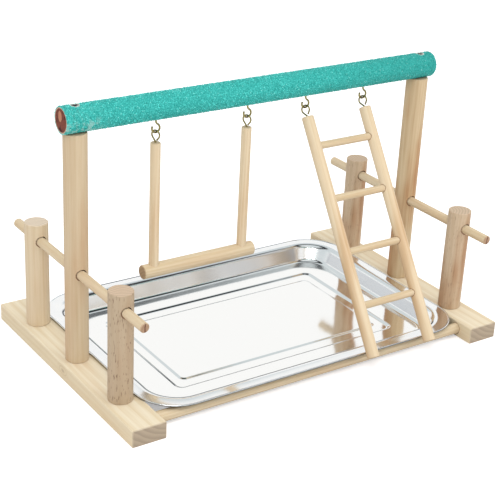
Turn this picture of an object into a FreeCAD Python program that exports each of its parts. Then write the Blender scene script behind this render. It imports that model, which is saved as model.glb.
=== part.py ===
import FreeCAD, Part
import math
import os
from FreeCAD import Vector

# Tabletop play stand for a parrot, in millimetres, +Z up.
# X runs along the top perch, +Y points to the back, and Z = 0 is the table.
# Every piece is first made with the perch line at Y = 0; export_node then moves it
# so that the origin is in the middle of the footprint, the ladder's feet included.

# ---- driving dimensions -------------------------------------------------------------
# base
POST_LINE_X = 211.5          # from the middle of the stand to each row of posts
BOARD_LENGTH = 300.0
BOARD_WIDTH = 37.0
BOARD_THICKNESS = 18.5
BOARD_EDGE_BEVEL = 0.8
CROSSBAR_DIAMETER = 12.0
CROSSBAR_INSET = 24.0        # from a board's end to a crossbar's axis
CROSSBAR_AXIS_Z = 9.3
CROSSBAR_ENTRY = 12.0        # how deep a crossbar goes into each board

# posts
TALL_POST_DIAMETER = 24.0
TALL_POST_TOP = 262.2
SHORT_POST_DIAMETER = 25.0
SHORT_POST_TOP = 135.5
SHORT_POST_INSET = 58.0      # from a board's end to a short post's axis
POST_END_BEVEL = 0.6

# side perches, loose in the drilled holes of three posts each
SIDE_PERCH_DIAMETER = 10.0
SIDE_PERCH_INSET = 12.0      # from a board's end to the perch's end
SIDE_PERCH_DROP = 18.7       # from the top of the short posts
SIDE_PERCH_HOLE_PLAY = 0.6   # radial
SIDE_PERCH_SEAT_GAP = 0.05   # left under the perch where it lies in its holes

# top perch
PERCH_CORE_DIAMETER = 25.0
PERCH_OVERHANG = 14.5        # past the axis of each tall post
GRIT_THICKNESS = 1.0

# wood screws
SCREW_DIAMETER = 4.0
SCREW_HEAD_DIAMETER = 8.0
SCREW_HEAD_HEIGHT = 2.6
SCREW_TIP_LENGTH = 4.0
SCREW_TIP_DIAMETER = 0.5
SCREW_CROSS_LENGTH = 4.8
SCREW_CROSS_WIDTH = 1.1
SCREW_CROSS_DEPTH = 1.3
PERCH_SCREW_LENGTH = 48.0
BASE_SCREW_LENGTH = 45.0
SCREW_HEAD_SINK = 0.2        # how far a head lies below the wood's surface
SCREW_PLAY = 0.05            # radial

# open hooks under the top perch
HOOK_WIRE_DIAMETER = 2.0
HOOK_BOWL_RADIUS = 4.4       # wire centreline, for the bowl and for the neck above it
HOOK_EXIT = 1.8              # straight wire between the perch and the neck
HOOK_NECK_TURN = 60.0        # degrees that the neck bends aside before the bowl
HOOK_THREAD_LENGTH = 11.0    # inside the perch
HOOK_TIP_RISE = 20.0         # degrees that the bowl goes on past level
HOOK_TIP_LENGTH = 0.8

# screw eyes that hang in the hooks
EYE_WIRE_DIAMETER = 1.7
EYE_RING_RADIUS = 4.6        # wire centreline
EYE_POINT_DROP = 7.2         # from the ring's middle down to the point at its neck
EYE_NECK_BEND = 1.2
EYE_NECK = 0.8               # shank that shows above the wood
EYE_THREAD_LENGTH = 11.0
EYE_GAP = 2.2                # open gap between the ring's free end and its neck
EYE_TURN = -65.0             # degrees from the hook's plane, so that the wires cross
HANG_GAP = 0.3               # between the hook's wire and the eye's wire

# swing
SWING_FROM_POST = 142.0      # from the left posts' line to the swing's middle
SWING_UPRIGHT_SPACING = 108.0
SWING_UPRIGHT_DIAMETER = 10.5
SWING_BAR_DIAMETER = 15.0
SWING_BAR_OVERHANG = 13.5    # from an upright's axis to the bar's end
SWING_DROP = 149.7           # from the hinge line to the bar's axis
SWING_UPRIGHT_ENTRY = 8.0    # depth of the hole in the bar

# ladder
LADDER_FROM_POST = 115.1     # from the right posts' line to the ladder's middle
LADDER_RAIL_SPACING = 76.8
LADDER_RAIL_DIAMETER = 13.0
LADDER_FOOT_PAST = 6.5       # how far the feet reach beyond the tray's edge
LADDER_RUNG_DIAMETER = 8.0
LADDER_RUNG_COUNT = 4
LADDER_TOP_RUNG = 43.0       # from the hinge line
LADDER_LOW_RUNG = 54.8       # from the feet
LADDER_RUNG_ENTRY = 8.0      # depth of the hole in a rail
LADDER_LEAN_GAP = 0.4        # between the rails and the tray's rolled edge
DOWEL_END_BEVEL = 0.7
DOWEL_PLAY = 0.05            # radial, for every glued dowel in its hole

# tray
TRAY_SIDE_GAP = 2.0          # between the rolled edge and the short posts
TRAY_END_INSET = 12.0        # from a board's end to the rolled edge
TRAY_CORNER = 46.0
TRAY_SHEET = 0.8
TRAY_ROLL_RADIUS = 0.9
TRAY_SEAT_GAP = 0.3          # between the rolled edge and the boards
TRAY_MOUTH_INSET = 14.0      # flat rim, from the outside to the top of the wall
TRAY_MOUTH_CORNER = 36.0
TRAY_FLOOR_INSET_X = 27.5
TRAY_FLOOR_INSET_Y = 28.0
TRAY_FLOOR_CORNER = 28.0
TRAY_FLOOR_Z = 3.5           # top of the ledge round the panel
TRAY_TURN_RISE = 2.4         # height of the bevelled turn from floor to wall
TRAY_TURN_INSET = 1.6
TRAY_STEP_WALL = 0.5         # sheet across the panel's slope
PANEL_INSET_X = 29.5         # from the floor's edge
PANEL_INSET_Y = 28.0
PANEL_CORNER = 9.0
PANEL_SINK = 1.0
PANEL_SLOPE = 1.5
CENTRE_INSET_X = 13.0        # from the panel's edge to the raised centre field
CENTRE_INSET_Y = 15.0
CENTRE_CORNER = 7.0
CENTRE_RISE = 0.6
CENTRE_SLOPE = 0.9

# ---- sizes that follow --------------------------------------------------------------
CROSSBAR_Y = BOARD_LENGTH / 2 - CROSSBAR_INSET
SHORT_POST_Y = BOARD_LENGTH / 2 - SHORT_POST_INSET
SIDE_PERCH_LENGTH = BOARD_LENGTH - 2 * SIDE_PERCH_INSET
SIDE_PERCH_Z = SHORT_POST_TOP - SIDE_PERCH_DROP
PERCH_LENGTH = 2 * (POST_LINE_X + PERCH_OVERHANG)
SWING_CENTRE_X = SWING_FROM_POST - POST_LINE_X
LADDER_CENTRE_X = POST_LINE_X - LADDER_FROM_POST

PERCH_RADIUS = PERCH_CORE_DIAMETER / 2 + GRIT_THICKNESS
PERCH_AXIS_Z = TALL_POST_TOP + PERCH_RADIUS
SIDE_HOLE_RADIUS = SIDE_PERCH_DIAMETER / 2 + SIDE_PERCH_HOLE_PLAY
SIDE_HOLE_Z = SIDE_PERCH_Z + SIDE_PERCH_HOLE_PLAY - SIDE_PERCH_SEAT_GAP

HOOK_DROP = (HOOK_EXIT + HOOK_BOWL_RADIUS
             + 2 * HOOK_BOWL_RADIUS * math.sin(math.radians(HOOK_NECK_TURN)))
HINGE_Z = PERCH_AXIS_Z - PERCH_RADIUS - HOOK_DROP

EYE_LIFT = (HOOK_WIRE_DIAMETER + EYE_WIRE_DIAMETER) / 2 + HANG_GAP
EYE_RING_DROP = EYE_RING_RADIUS - EYE_LIFT
EYE_REACH = EYE_RING_DROP + EYE_POINT_DROP + EYE_NECK

TRAY_HALF_X = POST_LINE_X - SHORT_POST_DIAMETER / 2 - TRAY_SIDE_GAP
TRAY_HALF_Y = BOARD_LENGTH / 2 - TRAY_END_INSET
PANEL_HALF_X = TRAY_HALF_X - TRAY_FLOOR_INSET_X - PANEL_INSET_X
PANEL_HALF_Y = TRAY_HALF_Y - TRAY_FLOOR_INSET_Y - PANEL_INSET_Y
TRAY_ROLL_Z = BOARD_THICKNESS + TRAY_SEAT_GAP + TRAY_ROLL_RADIUS
TRAY_RIM_TOP = TRAY_ROLL_Z + TRAY_SHEET / 2
TRAY_ROLL_Y = TRAY_HALF_Y - TRAY_ROLL_RADIUS

LEAN_OFFSET = LADDER_RAIL_DIAMETER / 2 + TRAY_ROLL_RADIUS + LADDER_LEAN_GAP
EDGE_DISTANCE = math.hypot(TRAY_ROLL_Y, HINGE_Z - TRAY_ROLL_Z)
LADDER_LEAN = (math.atan2(TRAY_ROLL_Y, HINGE_Z - TRAY_ROLL_Z)
               + math.asin(LEAN_OFFSET / EDGE_DISTANCE))
LADDER_REACH = math.sqrt(EDGE_DISTANCE ** 2 - LEAN_OFFSET ** 2) + LADDER_FOOT_PAST
LADDER_RUNG_SPACING = ((LADDER_REACH - LADDER_TOP_RUNG - LADDER_LOW_RUNG)
                       / (LADDER_RUNG_COUNT - 1))

LADDER_FRONT = ((LADDER_REACH - DOWEL_END_BEVEL) * math.sin(LADDER_LEAN)
                + LADDER_RAIL_DIAMETER / 2 * math.cos(LADDER_LEAN))
FOOTPRINT_SHIFT_Y = max(0.0, LADDER_FRONT - BOARD_LENGTH / 2) / 2

SIDES = {"left": -1, "right": 1}
ENDS = {"front": -1, "rear": 1}
X_AXIS = Vector(1, 0, 0)
Y_AXIS = Vector(0, 1, 0)
Z_AXIS = Vector(0, 0, 1)


# ---- helpers ------------------------------------------------------------------------
def dowel(start, direction, length, diameter, bevel=0.0):
    """Round rod from start along direction, with both ends bevelled."""
    rod = Part.makeCylinder(diameter / 2, length, start, direction)
    if bevel:
        rims = [edge for edge in rod.Edges if isinstance(edge.Curve, Part.Circle)]
        rod = rod.makeChamfer(bevel, rims)
    return rod


def hole(start, direction, length, diameter, play):
    """Cutter for a drilled hole that holds a rod of this diameter."""
    return Part.makeCylinder(diameter / 2 + play, length, start, direction)


def wood_screw(head, direction, length, play=0.0):
    """Countersunk screw whose flat head lies at head and which points along direction."""
    shank_length = length - SCREW_TIP_LENGTH
    radius = SCREW_DIAMETER / 2 + play
    body = Part.makeCylinder(radius, shank_length, head, direction)
    sink = Part.makeCone(SCREW_HEAD_DIAMETER / 2 + play, radius,
                         SCREW_HEAD_HEIGHT, head, direction)
    tip = Part.makeCone(radius, SCREW_TIP_DIAMETER / 2, SCREW_TIP_LENGTH + play,
                        head + direction * shank_length, direction)
    return body.fuse([sink, tip]).removeSplitter()


def screw_cross(head):
    """Cutter for the crossed drive slots in an upright screw's head."""
    reach, half_width = SCREW_CROSS_LENGTH / 2, SCREW_CROSS_WIDTH / 2
    slots = []
    for half_x, half_y in ((reach, half_width), (half_width, reach)):
        corner = head - Vector(half_x, half_y, SCREW_CROSS_DEPTH)
        slots.append(Part.makeBox(2 * half_x, 2 * half_y, 2 * SCREW_CROSS_DEPTH, corner))
    return slots[0].fuse(slots[1])


def screw_opening(head, direction, length):
    """Cutter for a screw, open from its head to the wood's surface."""
    mouth = Part.makeCylinder(SCREW_HEAD_DIAMETER / 2 + SCREW_PLAY, PERCH_RADIUS,
                              head, direction * -1)
    return wood_screw(head, direction, length, SCREW_PLAY).fuse(mouth)


def bent_wire(start, heading, moves, diameter):
    """Round wire in the XZ plane: moves are ("line", length) or ("arc", radius, degrees)."""
    point, angle = Vector(start), math.radians(heading)
    first = Vector(math.cos(angle), 0, math.sin(angle))
    edges = []
    for move in moves:
        if move[0] == "line":
            end = point + Vector(math.cos(angle), 0, math.sin(angle)) * move[1]
            edges.append(Part.LineSegment(point, end).toShape())
        else:
            radius, turn = move[1], math.radians(move[2])
            side = math.copysign(radius, turn)
            centre = point + Vector(-math.sin(angle), 0, math.cos(angle)) * side
            stops = []
            for share in (0.5, 1.0):
                later = angle + turn * share
                stops.append(centre - Vector(-math.sin(later), 0, math.cos(later)) * side)
            edges.append(Part.Arc(point, stops[0], stops[1]).toShape())
            end, angle = stops[1], angle + turn
        point = end
    section = Part.Wire(Part.makeCircle(diameter / 2, Vector(start), first))
    return Part.Wire(edges).makePipeShell([section], True, False)


def rounded_outline(half_x, half_y, corner, z):
    """Closed rectangle with round corners, centred on the Z axis."""
    bow = corner * (1 - math.sqrt(0.5))
    edges, previous = [], None
    for sx, sy in ((1, -1), (1, 1), (-1, 1), (-1, -1)):
        along_x = Vector(sx * (half_x - corner), sy * half_y, z)
        along_y = Vector(sx * half_x, sy * (half_y - corner), z)
        middle = Vector(sx * (half_x - bow), sy * (half_y - bow), z)
        start, end = (along_x, along_y) if sx * sy < 0 else (along_y, along_x)
        if previous:
            edges.append(Part.LineSegment(previous, start).toShape())
        edges.append(Part.Arc(start, middle, end).toShape())
        previous = end
    edges.append(Part.LineSegment(previous, edges[0].Vertexes[0].Point).toShape())
    return Part.Wire(edges)


def basin(sections):
    """Solid with flat ends through rounded outlines (half_x, half_y, corner, z)."""
    solids = []
    for lower, upper in zip(sections, sections[1:]):
        wires = [rounded_outline(*lower), rounded_outline(*upper)]
        solids.append(Part.makeLoft(wires, True, True))
    return solids[0].multiFuse(solids[1:]).removeSplitter() if solids[1:] else solids[0]


def grown(section, by):
    """The same outline, larger all round by by and lower by one sheet."""
    half_x, half_y, corner, z = section
    return (half_x + by, half_y + by, corner + by, z - TRAY_SHEET)


# ---- base ---------------------------------------------------------------------------
def crossbar_hole(side, end):
    inner_face = side * (POST_LINE_X - BOARD_WIDTH / 2)
    start = Vector(inner_face, end * CROSSBAR_Y, CROSSBAR_AXIS_Z)
    return hole(start, X_AXIS * side, CROSSBAR_ENTRY + DOWEL_PLAY, CROSSBAR_DIAMETER,
                DOWEL_PLAY)


def post_places(side):
    """Where the three posts of one side stand: (x, y)."""
    return [(side * POST_LINE_X, y) for y in (-SHORT_POST_Y, 0.0, SHORT_POST_Y)]


def base_screw_head(place):
    return Vector(place[0], place[1], SCREW_HEAD_SINK)


def base_board(side):
    corner = Vector(side * POST_LINE_X - BOARD_WIDTH / 2, -BOARD_LENGTH / 2, 0)
    board = Part.makeBox(BOARD_WIDTH, BOARD_LENGTH, BOARD_THICKNESS, corner)
    board = board.makeChamfer(BOARD_EDGE_BEVEL, board.Edges)
    cuts = [crossbar_hole(side, end) for end in ENDS.values()]
    for place in post_places(side):
        cuts.append(screw_opening(base_screw_head(place), Z_AXIS, BASE_SCREW_LENGTH))
    return board.cut(cuts)


def crossbar(end):
    length = 2 * (POST_LINE_X - BOARD_WIDTH / 2 + CROSSBAR_ENTRY)
    start = Vector(-length / 2, end * CROSSBAR_Y, CROSSBAR_AXIS_Z)
    return dowel(start, X_AXIS, length, CROSSBAR_DIAMETER, DOWEL_END_BEVEL)


# ---- posts and side perches ---------------------------------------------------------
def side_perch_hole(side):
    start = Vector(side * POST_LINE_X, -SIDE_PERCH_LENGTH / 2, SIDE_HOLE_Z)
    return Part.makeCylinder(SIDE_HOLE_RADIUS, SIDE_PERCH_LENGTH, start, Y_AXIS)


def post(place, top, diameter, side):
    height = top - BOARD_THICKNESS
    stem = dowel(Vector(place[0], place[1], BOARD_THICKNESS), Z_AXIS, height, diameter,
                 POST_END_BEVEL)
    base_hole = wood_screw(base_screw_head(place), Z_AXIS, BASE_SCREW_LENGTH, SCREW_PLAY)
    return stem.cut([side_perch_hole(side), base_hole])


def perch_screw_head(side):
    top = PERCH_AXIS_Z + math.sqrt(PERCH_RADIUS ** 2 - (SCREW_HEAD_DIAMETER / 2) ** 2)
    return Vector(side * POST_LINE_X, 0, top - SCREW_HEAD_SINK)


def tall_post(side):
    stem = post((side * POST_LINE_X, 0.0), TALL_POST_TOP, TALL_POST_DIAMETER, side)
    pilot = wood_screw(perch_screw_head(side), Z_AXIS * -1, PERCH_SCREW_LENGTH, SCREW_PLAY)
    return stem.cut(pilot)


def short_post(side, end):
    place = (side * POST_LINE_X, end * SHORT_POST_Y)
    return post(place, SHORT_POST_TOP, SHORT_POST_DIAMETER, side)


def side_perch(side):
    start = Vector(side * POST_LINE_X, -SIDE_PERCH_LENGTH / 2, SIDE_PERCH_Z)
    return dowel(start, Y_AXIS, SIDE_PERCH_LENGTH, SIDE_PERCH_DIAMETER, DOWEL_END_BEVEL)


# ---- top perch ----------------------------------------------------------------------
def swing_hang_xs():
    half = SWING_UPRIGHT_SPACING / 2
    return {name: SWING_CENTRE_X + sign * half for name, sign in SIDES.items()}


def ladder_hang_xs():
    half = LADDER_RAIL_SPACING / 2
    return {name: LADDER_CENTRE_X + sign * half for name, sign in SIDES.items()}


def perch_openings():
    """Cutters for the two screws and the four hook threads in the top perch."""
    cuts = []
    for side in SIDES.values():
        cuts.append(screw_opening(perch_screw_head(side), Z_AXIS * -1, PERCH_SCREW_LENGTH))
    for x in list(swing_hang_xs().values()) + list(ladder_hang_xs().values()):
        start = Vector(x, 0, PERCH_AXIS_Z - PERCH_RADIUS - HOOK_EXIT)
        depth = HOOK_EXIT + HOOK_THREAD_LENGTH + SCREW_PLAY
        cuts.append(hole(start, Z_AXIS, depth, HOOK_WIRE_DIAMETER, SCREW_PLAY))
    return cuts


def top_perch_dowel():
    start = Vector(-PERCH_LENGTH / 2, 0, PERCH_AXIS_Z)
    core = Part.makeCylinder(PERCH_CORE_DIAMETER / 2, PERCH_LENGTH, start, X_AXIS)
    return core.cut(perch_openings())


def top_perch_grit():
    start = Vector(-PERCH_LENGTH / 2, 0, PERCH_AXIS_Z)
    skin = Part.makeCylinder(PERCH_RADIUS, PERCH_LENGTH, start, X_AXIS)
    core = Part.makeCylinder(PERCH_CORE_DIAMETER / 2, PERCH_LENGTH, start, X_AXIS)
    return skin.cut([core] + perch_openings())


def screw_group(heads, direction, length):
    """Several equal screws as separate solids in one group."""
    screws = []
    for head in heads:
        screw = wood_screw(head, direction, length)
        screws.append(screw.cut(screw_cross(head)))
    return Part.makeCompound(screws)


def perch_screws():
    heads = [perch_screw_head(side) for side in SIDES.values()]
    return screw_group(heads, Z_AXIS * -1, PERCH_SCREW_LENGTH)


def base_screws():
    heads = [base_screw_head(place) for side in SIDES.values() for place in post_places(side)]
    return screw_group(heads, Z_AXIS, BASE_SCREW_LENGTH)


# ---- hooks and eyes -----------------------------------------------------------------
def open_hook(x):
    """Hook screwed up into the perch, with its bowl right under its shank."""
    straight = HOOK_THREAD_LENGTH + HOOK_EXIT
    top = HINGE_Z + HOOK_DROP + HOOK_THREAD_LENGTH
    moves = [("line", straight),
             ("arc", HOOK_BOWL_RADIUS, HOOK_NECK_TURN),
             ("arc", HOOK_BOWL_RADIUS, -(180.0 + HOOK_NECK_TURN + HOOK_TIP_RISE)),
             ("line", HOOK_TIP_LENGTH)]
    return bent_wire(Vector(x, 0, top), -90.0, moves, HOOK_WIRE_DIAMETER)


def screw_eye(x):
    """Pear-shaped eye that hangs in the hook at x, with its thread straight down."""
    half_point = math.asin(EYE_RING_RADIUS / EYE_POINT_DROP)
    half_degrees = math.degrees(half_point)
    flank = math.sqrt(EYE_POINT_DROP ** 2 - EYE_RING_RADIUS ** 2)
    cut_back = EYE_NECK_BEND * math.tan(half_point / 2)
    moves = [("line", EYE_THREAD_LENGTH + EYE_NECK - cut_back),
             ("arc", EYE_NECK_BEND, half_degrees),
             ("line", flank - cut_back),
             ("arc", EYE_RING_RADIUS, -(180.0 + 2 * half_degrees)),
             ("line", flank - EYE_GAP)]
    start = Vector(x, 0, HINGE_Z - EYE_REACH - EYE_THREAD_LENGTH)
    eye = bent_wire(start, 90.0, moves, EYE_WIRE_DIAMETER)
    eye.rotate(Vector(x, 0, 0), Z_AXIS, EYE_TURN)
    return eye


def eye_pilot(x):
    start = Vector(x, 0, HINGE_Z - EYE_REACH)
    return hole(start, Z_AXIS * -1, EYE_THREAD_LENGTH + SCREW_PLAY, EYE_WIRE_DIAMETER,
                SCREW_PLAY)


# ---- swing --------------------------------------------------------------------------
def swing_upright(x):
    bar_z = HINGE_Z - SWING_DROP
    foot = bar_z + SWING_BAR_DIAMETER / 2 - SWING_UPRIGHT_ENTRY
    length = HINGE_Z - EYE_REACH - foot
    rod = dowel(Vector(x, 0, foot), Z_AXIS, length, SWING_UPRIGHT_DIAMETER, DOWEL_END_BEVEL)
    return rod.cut(eye_pilot(x))


def swing_bar():
    length = SWING_UPRIGHT_SPACING + 2 * SWING_BAR_OVERHANG
    bar_z = HINGE_Z - SWING_DROP
    start = Vector(SWING_CENTRE_X - length / 2, 0, bar_z)
    bar = dowel(start, X_AXIS, length, SWING_BAR_DIAMETER, DOWEL_END_BEVEL)
    cuts = []
    for x in swing_hang_xs().values():
        mouth = Vector(x, 0, bar_z + SWING_BAR_DIAMETER / 2)
        cuts.append(hole(mouth, Z_AXIS * -1, SWING_UPRIGHT_ENTRY + DOWEL_PLAY,
                         SWING_UPRIGHT_DIAMETER, DOWEL_PLAY))
    return bar.cut(cuts)


# ---- ladder, made hanging straight down and then leaned on the tray's edge -----------
def leaned(shape):
    shape.rotate(Vector(0, 0, HINGE_Z), X_AXIS, -math.degrees(LADDER_LEAN))
    return shape


def rung_z(index):
    return HINGE_Z - LADDER_TOP_RUNG - index * LADDER_RUNG_SPACING


def rung_inner_half():
    """From the ladder's middle to the end of a rung, inside its rail."""
    return (LADDER_RAIL_SPACING - LADDER_RAIL_DIAMETER) / 2 + LADDER_RUNG_ENTRY


def ladder_rail(x, side):
    foot = Vector(x, 0, HINGE_Z - LADDER_REACH)
    rail = dowel(foot, Z_AXIS, LADDER_REACH - EYE_REACH, LADDER_RAIL_DIAMETER,
                 DOWEL_END_BEVEL)
    cuts = [eye_pilot(x)]
    for index in range(LADDER_RUNG_COUNT):
        start = Vector(LADDER_CENTRE_X, 0, rung_z(index))
        cuts.append(hole(start, X_AXIS * side, rung_inner_half() + DOWEL_PLAY,
                         LADDER_RUNG_DIAMETER, DOWEL_PLAY))
    return leaned(rail.cut(cuts))


def ladder_rung(index):
    start = Vector(LADDER_CENTRE_X - rung_inner_half(), 0, rung_z(index))
    rung = dowel(start, X_AXIS, 2 * rung_inner_half(), LADDER_RUNG_DIAMETER, DOWEL_END_BEVEL)
    return leaned(rung)


# ---- tray ---------------------------------------------------------------------------
def tray_sections():
    """Inside of the bowl from its ledge up to the rim: (half_x, half_y, corner, z)."""
    floor_x = TRAY_HALF_X - TRAY_FLOOR_INSET_X
    floor_y = TRAY_HALF_Y - TRAY_FLOOR_INSET_Y
    mouth_x = TRAY_HALF_X - TRAY_MOUTH_INSET
    mouth_y = TRAY_HALF_Y - TRAY_MOUTH_INSET
    rise = TRAY_RIM_TOP - TRAY_FLOOR_Z
    share = TRAY_TURN_RISE / rise
    turn = (floor_x + share * (mouth_x - floor_x), floor_y + share * (mouth_y - floor_y),
            TRAY_FLOOR_CORNER + share * (TRAY_MOUTH_CORNER - TRAY_FLOOR_CORNER),
            TRAY_FLOOR_Z + TRAY_TURN_RISE)
    sole = (floor_x - TRAY_TURN_INSET, floor_y - TRAY_TURN_INSET,
            TRAY_FLOOR_CORNER - TRAY_TURN_INSET, TRAY_FLOOR_Z)
    mouth = (mouth_x, mouth_y, TRAY_MOUTH_CORNER, TRAY_RIM_TOP)
    return [sole, turn, mouth]


def tray_panel(lower_by, wider_by):
    """Sunken panel in the floor, and the raised field in its middle."""
    top = TRAY_FLOOR_Z - lower_by
    low = top - PANEL_SINK
    panel = basin([(PANEL_HALF_X - PANEL_SLOPE + wider_by, PANEL_HALF_Y - PANEL_SLOPE + wider_by,
                    PANEL_CORNER - PANEL_SLOPE + wider_by, low),
                   (PANEL_HALF_X + wider_by, PANEL_HALF_Y + wider_by,
                    PANEL_CORNER + wider_by, top)])
    field_x = PANEL_HALF_X - CENTRE_INSET_X - wider_by
    field_y = PANEL_HALF_Y - CENTRE_INSET_Y - wider_by
    corner = CENTRE_CORNER - wider_by
    field = basin([(field_x, field_y, corner, low),
                   (field_x - CENTRE_SLOPE, field_y - CENTRE_SLOPE, corner - CENTRE_SLOPE,
                    low + CENTRE_RISE)])
    return panel.cut(field)


def tray():
    inside = tray_sections()
    outside = [grown(section, TRAY_SHEET) for section in inside]
    shell = basin(outside).fuse(tray_panel(TRAY_SHEET, TRAY_STEP_WALL))
    rim_section = (TRAY_HALF_X - TRAY_ROLL_RADIUS, TRAY_HALF_Y - TRAY_ROLL_RADIUS,
                   TRAY_CORNER - TRAY_ROLL_RADIUS)
    rim = basin([rim_section + (TRAY_RIM_TOP - TRAY_SHEET,), rim_section + (TRAY_RIM_TOP,)])
    path = rounded_outline(*rim_section, TRAY_ROLL_Z)
    start = path.Edges[0].Vertexes[0].Point
    section = Part.Wire(Part.makeCircle(TRAY_ROLL_RADIUS, start,
                                        path.Edges[0].tangentAt(path.Edges[0].FirstParameter)))
    roll = path.makePipeShell([section], True, False)
    solid = shell.fuse([rim, roll])
    return solid.cut([basin(inside), tray_panel(0.0, 0.0)]).removeSplitter()


# ---- export -------------------------------------------------------------------------
def export_node(name, shape):
    placed = shape.copy()
    placed.translate(Vector(0, FOOTPRINT_SHIFT_Y, 0))
    placed.exportStep(os.path.join("parts", name + ".step"))
    solids = placed.Solids
    volume = sum(solid.Volume for solid in solids)
    box = placed.BoundBox
    print("%-24s solids %d  valid %s  volume %.1f  x %.1f..%.1f  y %.1f..%.1f  z %.1f..%.1f"
          % (name, len(solids), placed.isValid(), volume, box.XMin, box.XMax,
             box.YMin, box.YMax, box.ZMin, box.ZMax))


def all_nodes():
    nodes = {}
    for side_name, side in SIDES.items():
        nodes["base_board_" + side_name] = base_board(side)
        nodes["tall_post_" + side_name] = tall_post(side)
        nodes["side_perch_" + side_name] = side_perch(side)
        for end_name, end in ENDS.items():
            nodes["short_post_%s_%s" % (end_name, side_name)] = short_post(side, end)
    for end_name, end in ENDS.items():
        nodes["crossbar_" + end_name] = crossbar(end)
    nodes["top_perch_dowel"] = top_perch_dowel()
    nodes["top_perch_grit"] = top_perch_grit()
    nodes["perch_screws"] = perch_screws()
    nodes["base_screws"] = base_screws()
    for side_name, x in swing_hang_xs().items():
        nodes["swing_hook_" + side_name] = open_hook(x)
        nodes["swing_eye_" + side_name] = screw_eye(x)
        nodes["swing_upright_" + side_name] = swing_upright(x)
    nodes["swing_bar"] = swing_bar()
    for side_name, x in ladder_hang_xs().items():
        nodes["ladder_hook_" + side_name] = open_hook(x)
        nodes["ladder_eye_" + side_name] = leaned(screw_eye(x))
        nodes["ladder_rail_" + side_name] = ladder_rail(x, SIDES[side_name])
    for index in range(LADDER_RUNG_COUNT):
        nodes["ladder_rung_%d" % (index + 1)] = ladder_rung(index)
    nodes["tray"] = tray()
    return nodes


def main():
    os.makedirs("parts", exist_ok=True)
    for name, shape in all_nodes().items():
        export_node(name, shape)
    print("hinge line z %.3f, y %.3f" % (HINGE_Z, FOOTPRINT_SHIFT_Y))
    print("ladder leans %.3f degrees from upright" % math.degrees(LADDER_LEAN))


main()
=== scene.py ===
# %% [markdown]
# # Parrot play stand: the looks
#
# A tabletop stand for a small parrot: a gritted perch on two tall posts, a swing and a ladder that
# hang from it in wire hooks, side perches through short posts, and a polished tray between two
# pine boards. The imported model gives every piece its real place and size. This lesson adds what a
# drawing board can't: grain in the wood, grit on the top perch, a tray with soft bends that works
# as a mirror, and the white studio that it mirrors.
#
# The looks could be made in a file of their own and lined up by hand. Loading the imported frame
# keeps both in one place and one scale, so nothing has to be lined up.

import math
import random

import bpy
from mathutils import Matrix, Vector


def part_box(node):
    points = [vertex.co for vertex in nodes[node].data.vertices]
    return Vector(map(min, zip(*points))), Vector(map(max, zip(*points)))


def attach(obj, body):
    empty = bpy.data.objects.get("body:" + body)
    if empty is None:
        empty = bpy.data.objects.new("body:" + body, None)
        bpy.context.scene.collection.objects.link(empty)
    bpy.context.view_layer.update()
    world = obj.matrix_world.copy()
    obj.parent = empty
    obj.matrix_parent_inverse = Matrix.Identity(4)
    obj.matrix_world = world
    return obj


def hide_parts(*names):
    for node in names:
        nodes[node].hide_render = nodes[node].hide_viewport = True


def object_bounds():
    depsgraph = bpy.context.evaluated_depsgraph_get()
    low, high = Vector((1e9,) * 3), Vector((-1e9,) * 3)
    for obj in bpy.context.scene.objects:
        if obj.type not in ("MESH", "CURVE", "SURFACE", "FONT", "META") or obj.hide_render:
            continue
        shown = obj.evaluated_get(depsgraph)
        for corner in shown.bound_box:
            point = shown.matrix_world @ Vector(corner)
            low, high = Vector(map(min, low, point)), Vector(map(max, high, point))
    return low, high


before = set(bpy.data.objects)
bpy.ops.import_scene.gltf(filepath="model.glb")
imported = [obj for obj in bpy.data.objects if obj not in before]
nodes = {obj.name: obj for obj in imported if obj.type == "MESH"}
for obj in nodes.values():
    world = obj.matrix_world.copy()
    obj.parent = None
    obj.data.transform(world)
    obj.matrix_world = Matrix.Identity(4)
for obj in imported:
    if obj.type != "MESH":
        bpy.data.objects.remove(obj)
size_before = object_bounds()

# %% [markdown]
# ## Sizes
#
# The real stand is about as wide as a forearm with its hand is long. Its sizes could be typed in
# once more, but the boxes of the CAD nodes hold them already, so a new pack moves the looks with
# it. Blender counts in metres; MM turns millimetres into metres.

# %% Read places and sizes from the frame
MM = 0.001


def centre_of(node):
    low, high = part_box(node)
    return (low + high) / 2


def span_of(node):
    low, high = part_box(node)
    return high - low


STAND_LOW, STAND_HIGH = size_before
STAND_CENTRE = (STAND_LOW + STAND_HIGH) / 2
print("stand", [round(v / MM) for v in STAND_HIGH - STAND_LOW], "mm")

# %% [markdown]
# ## Helpers for node trees
#
# Every finish here is a node tree. Trees can be wired by hand in the shader editor, but a script
# gives the same tree each time. new_node() makes one node, sets its inputs by name or number, and
# links those inputs that are given as another node's output. Colours are read off a screen as
# 0 to 255, while shaders count in linear light, so linear() turns one into the other.

# %% Colours and single nodes


def linear(red, green, blue):
    """0 to 255 screen colour as a linear RGBA value."""
    values = []
    for channel in (red, green, blue):
        c = channel / 255
        values.append(c / 12.92 if c <= 0.04045 else ((c + 0.055) / 1.055) ** 2.4)
    return (*values, 1.0)


def shaded(colour, share):
    """A darker version of a 0 to 255 colour."""
    return [share * channel for channel in colour]


def new_node(tree, kind, output=0, settings=None, **inputs):
    """Makes a node and returns one of its outputs; an input called n2 is input number 2."""
    node = tree.nodes.new(kind)
    for key, value in (settings or {}).items():
        setattr(node, key, value)
    for key, value in inputs.items():
        by_number = key[0] == "n" and key[1:].isdigit()
        socket = node.inputs[int(key[1:]) if by_number else key.replace("_", " ")]
        if isinstance(value, bpy.types.NodeSocket):
            tree.links.new(value, socket)
        else:
            socket.default_value = value
    return node.outputs[output]


print("white is", linear(255, 255, 255), "and middle grey", round(linear(128, 128, 128)[0], 3))

# %% Shader: a node tree that reads like a sum


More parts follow.
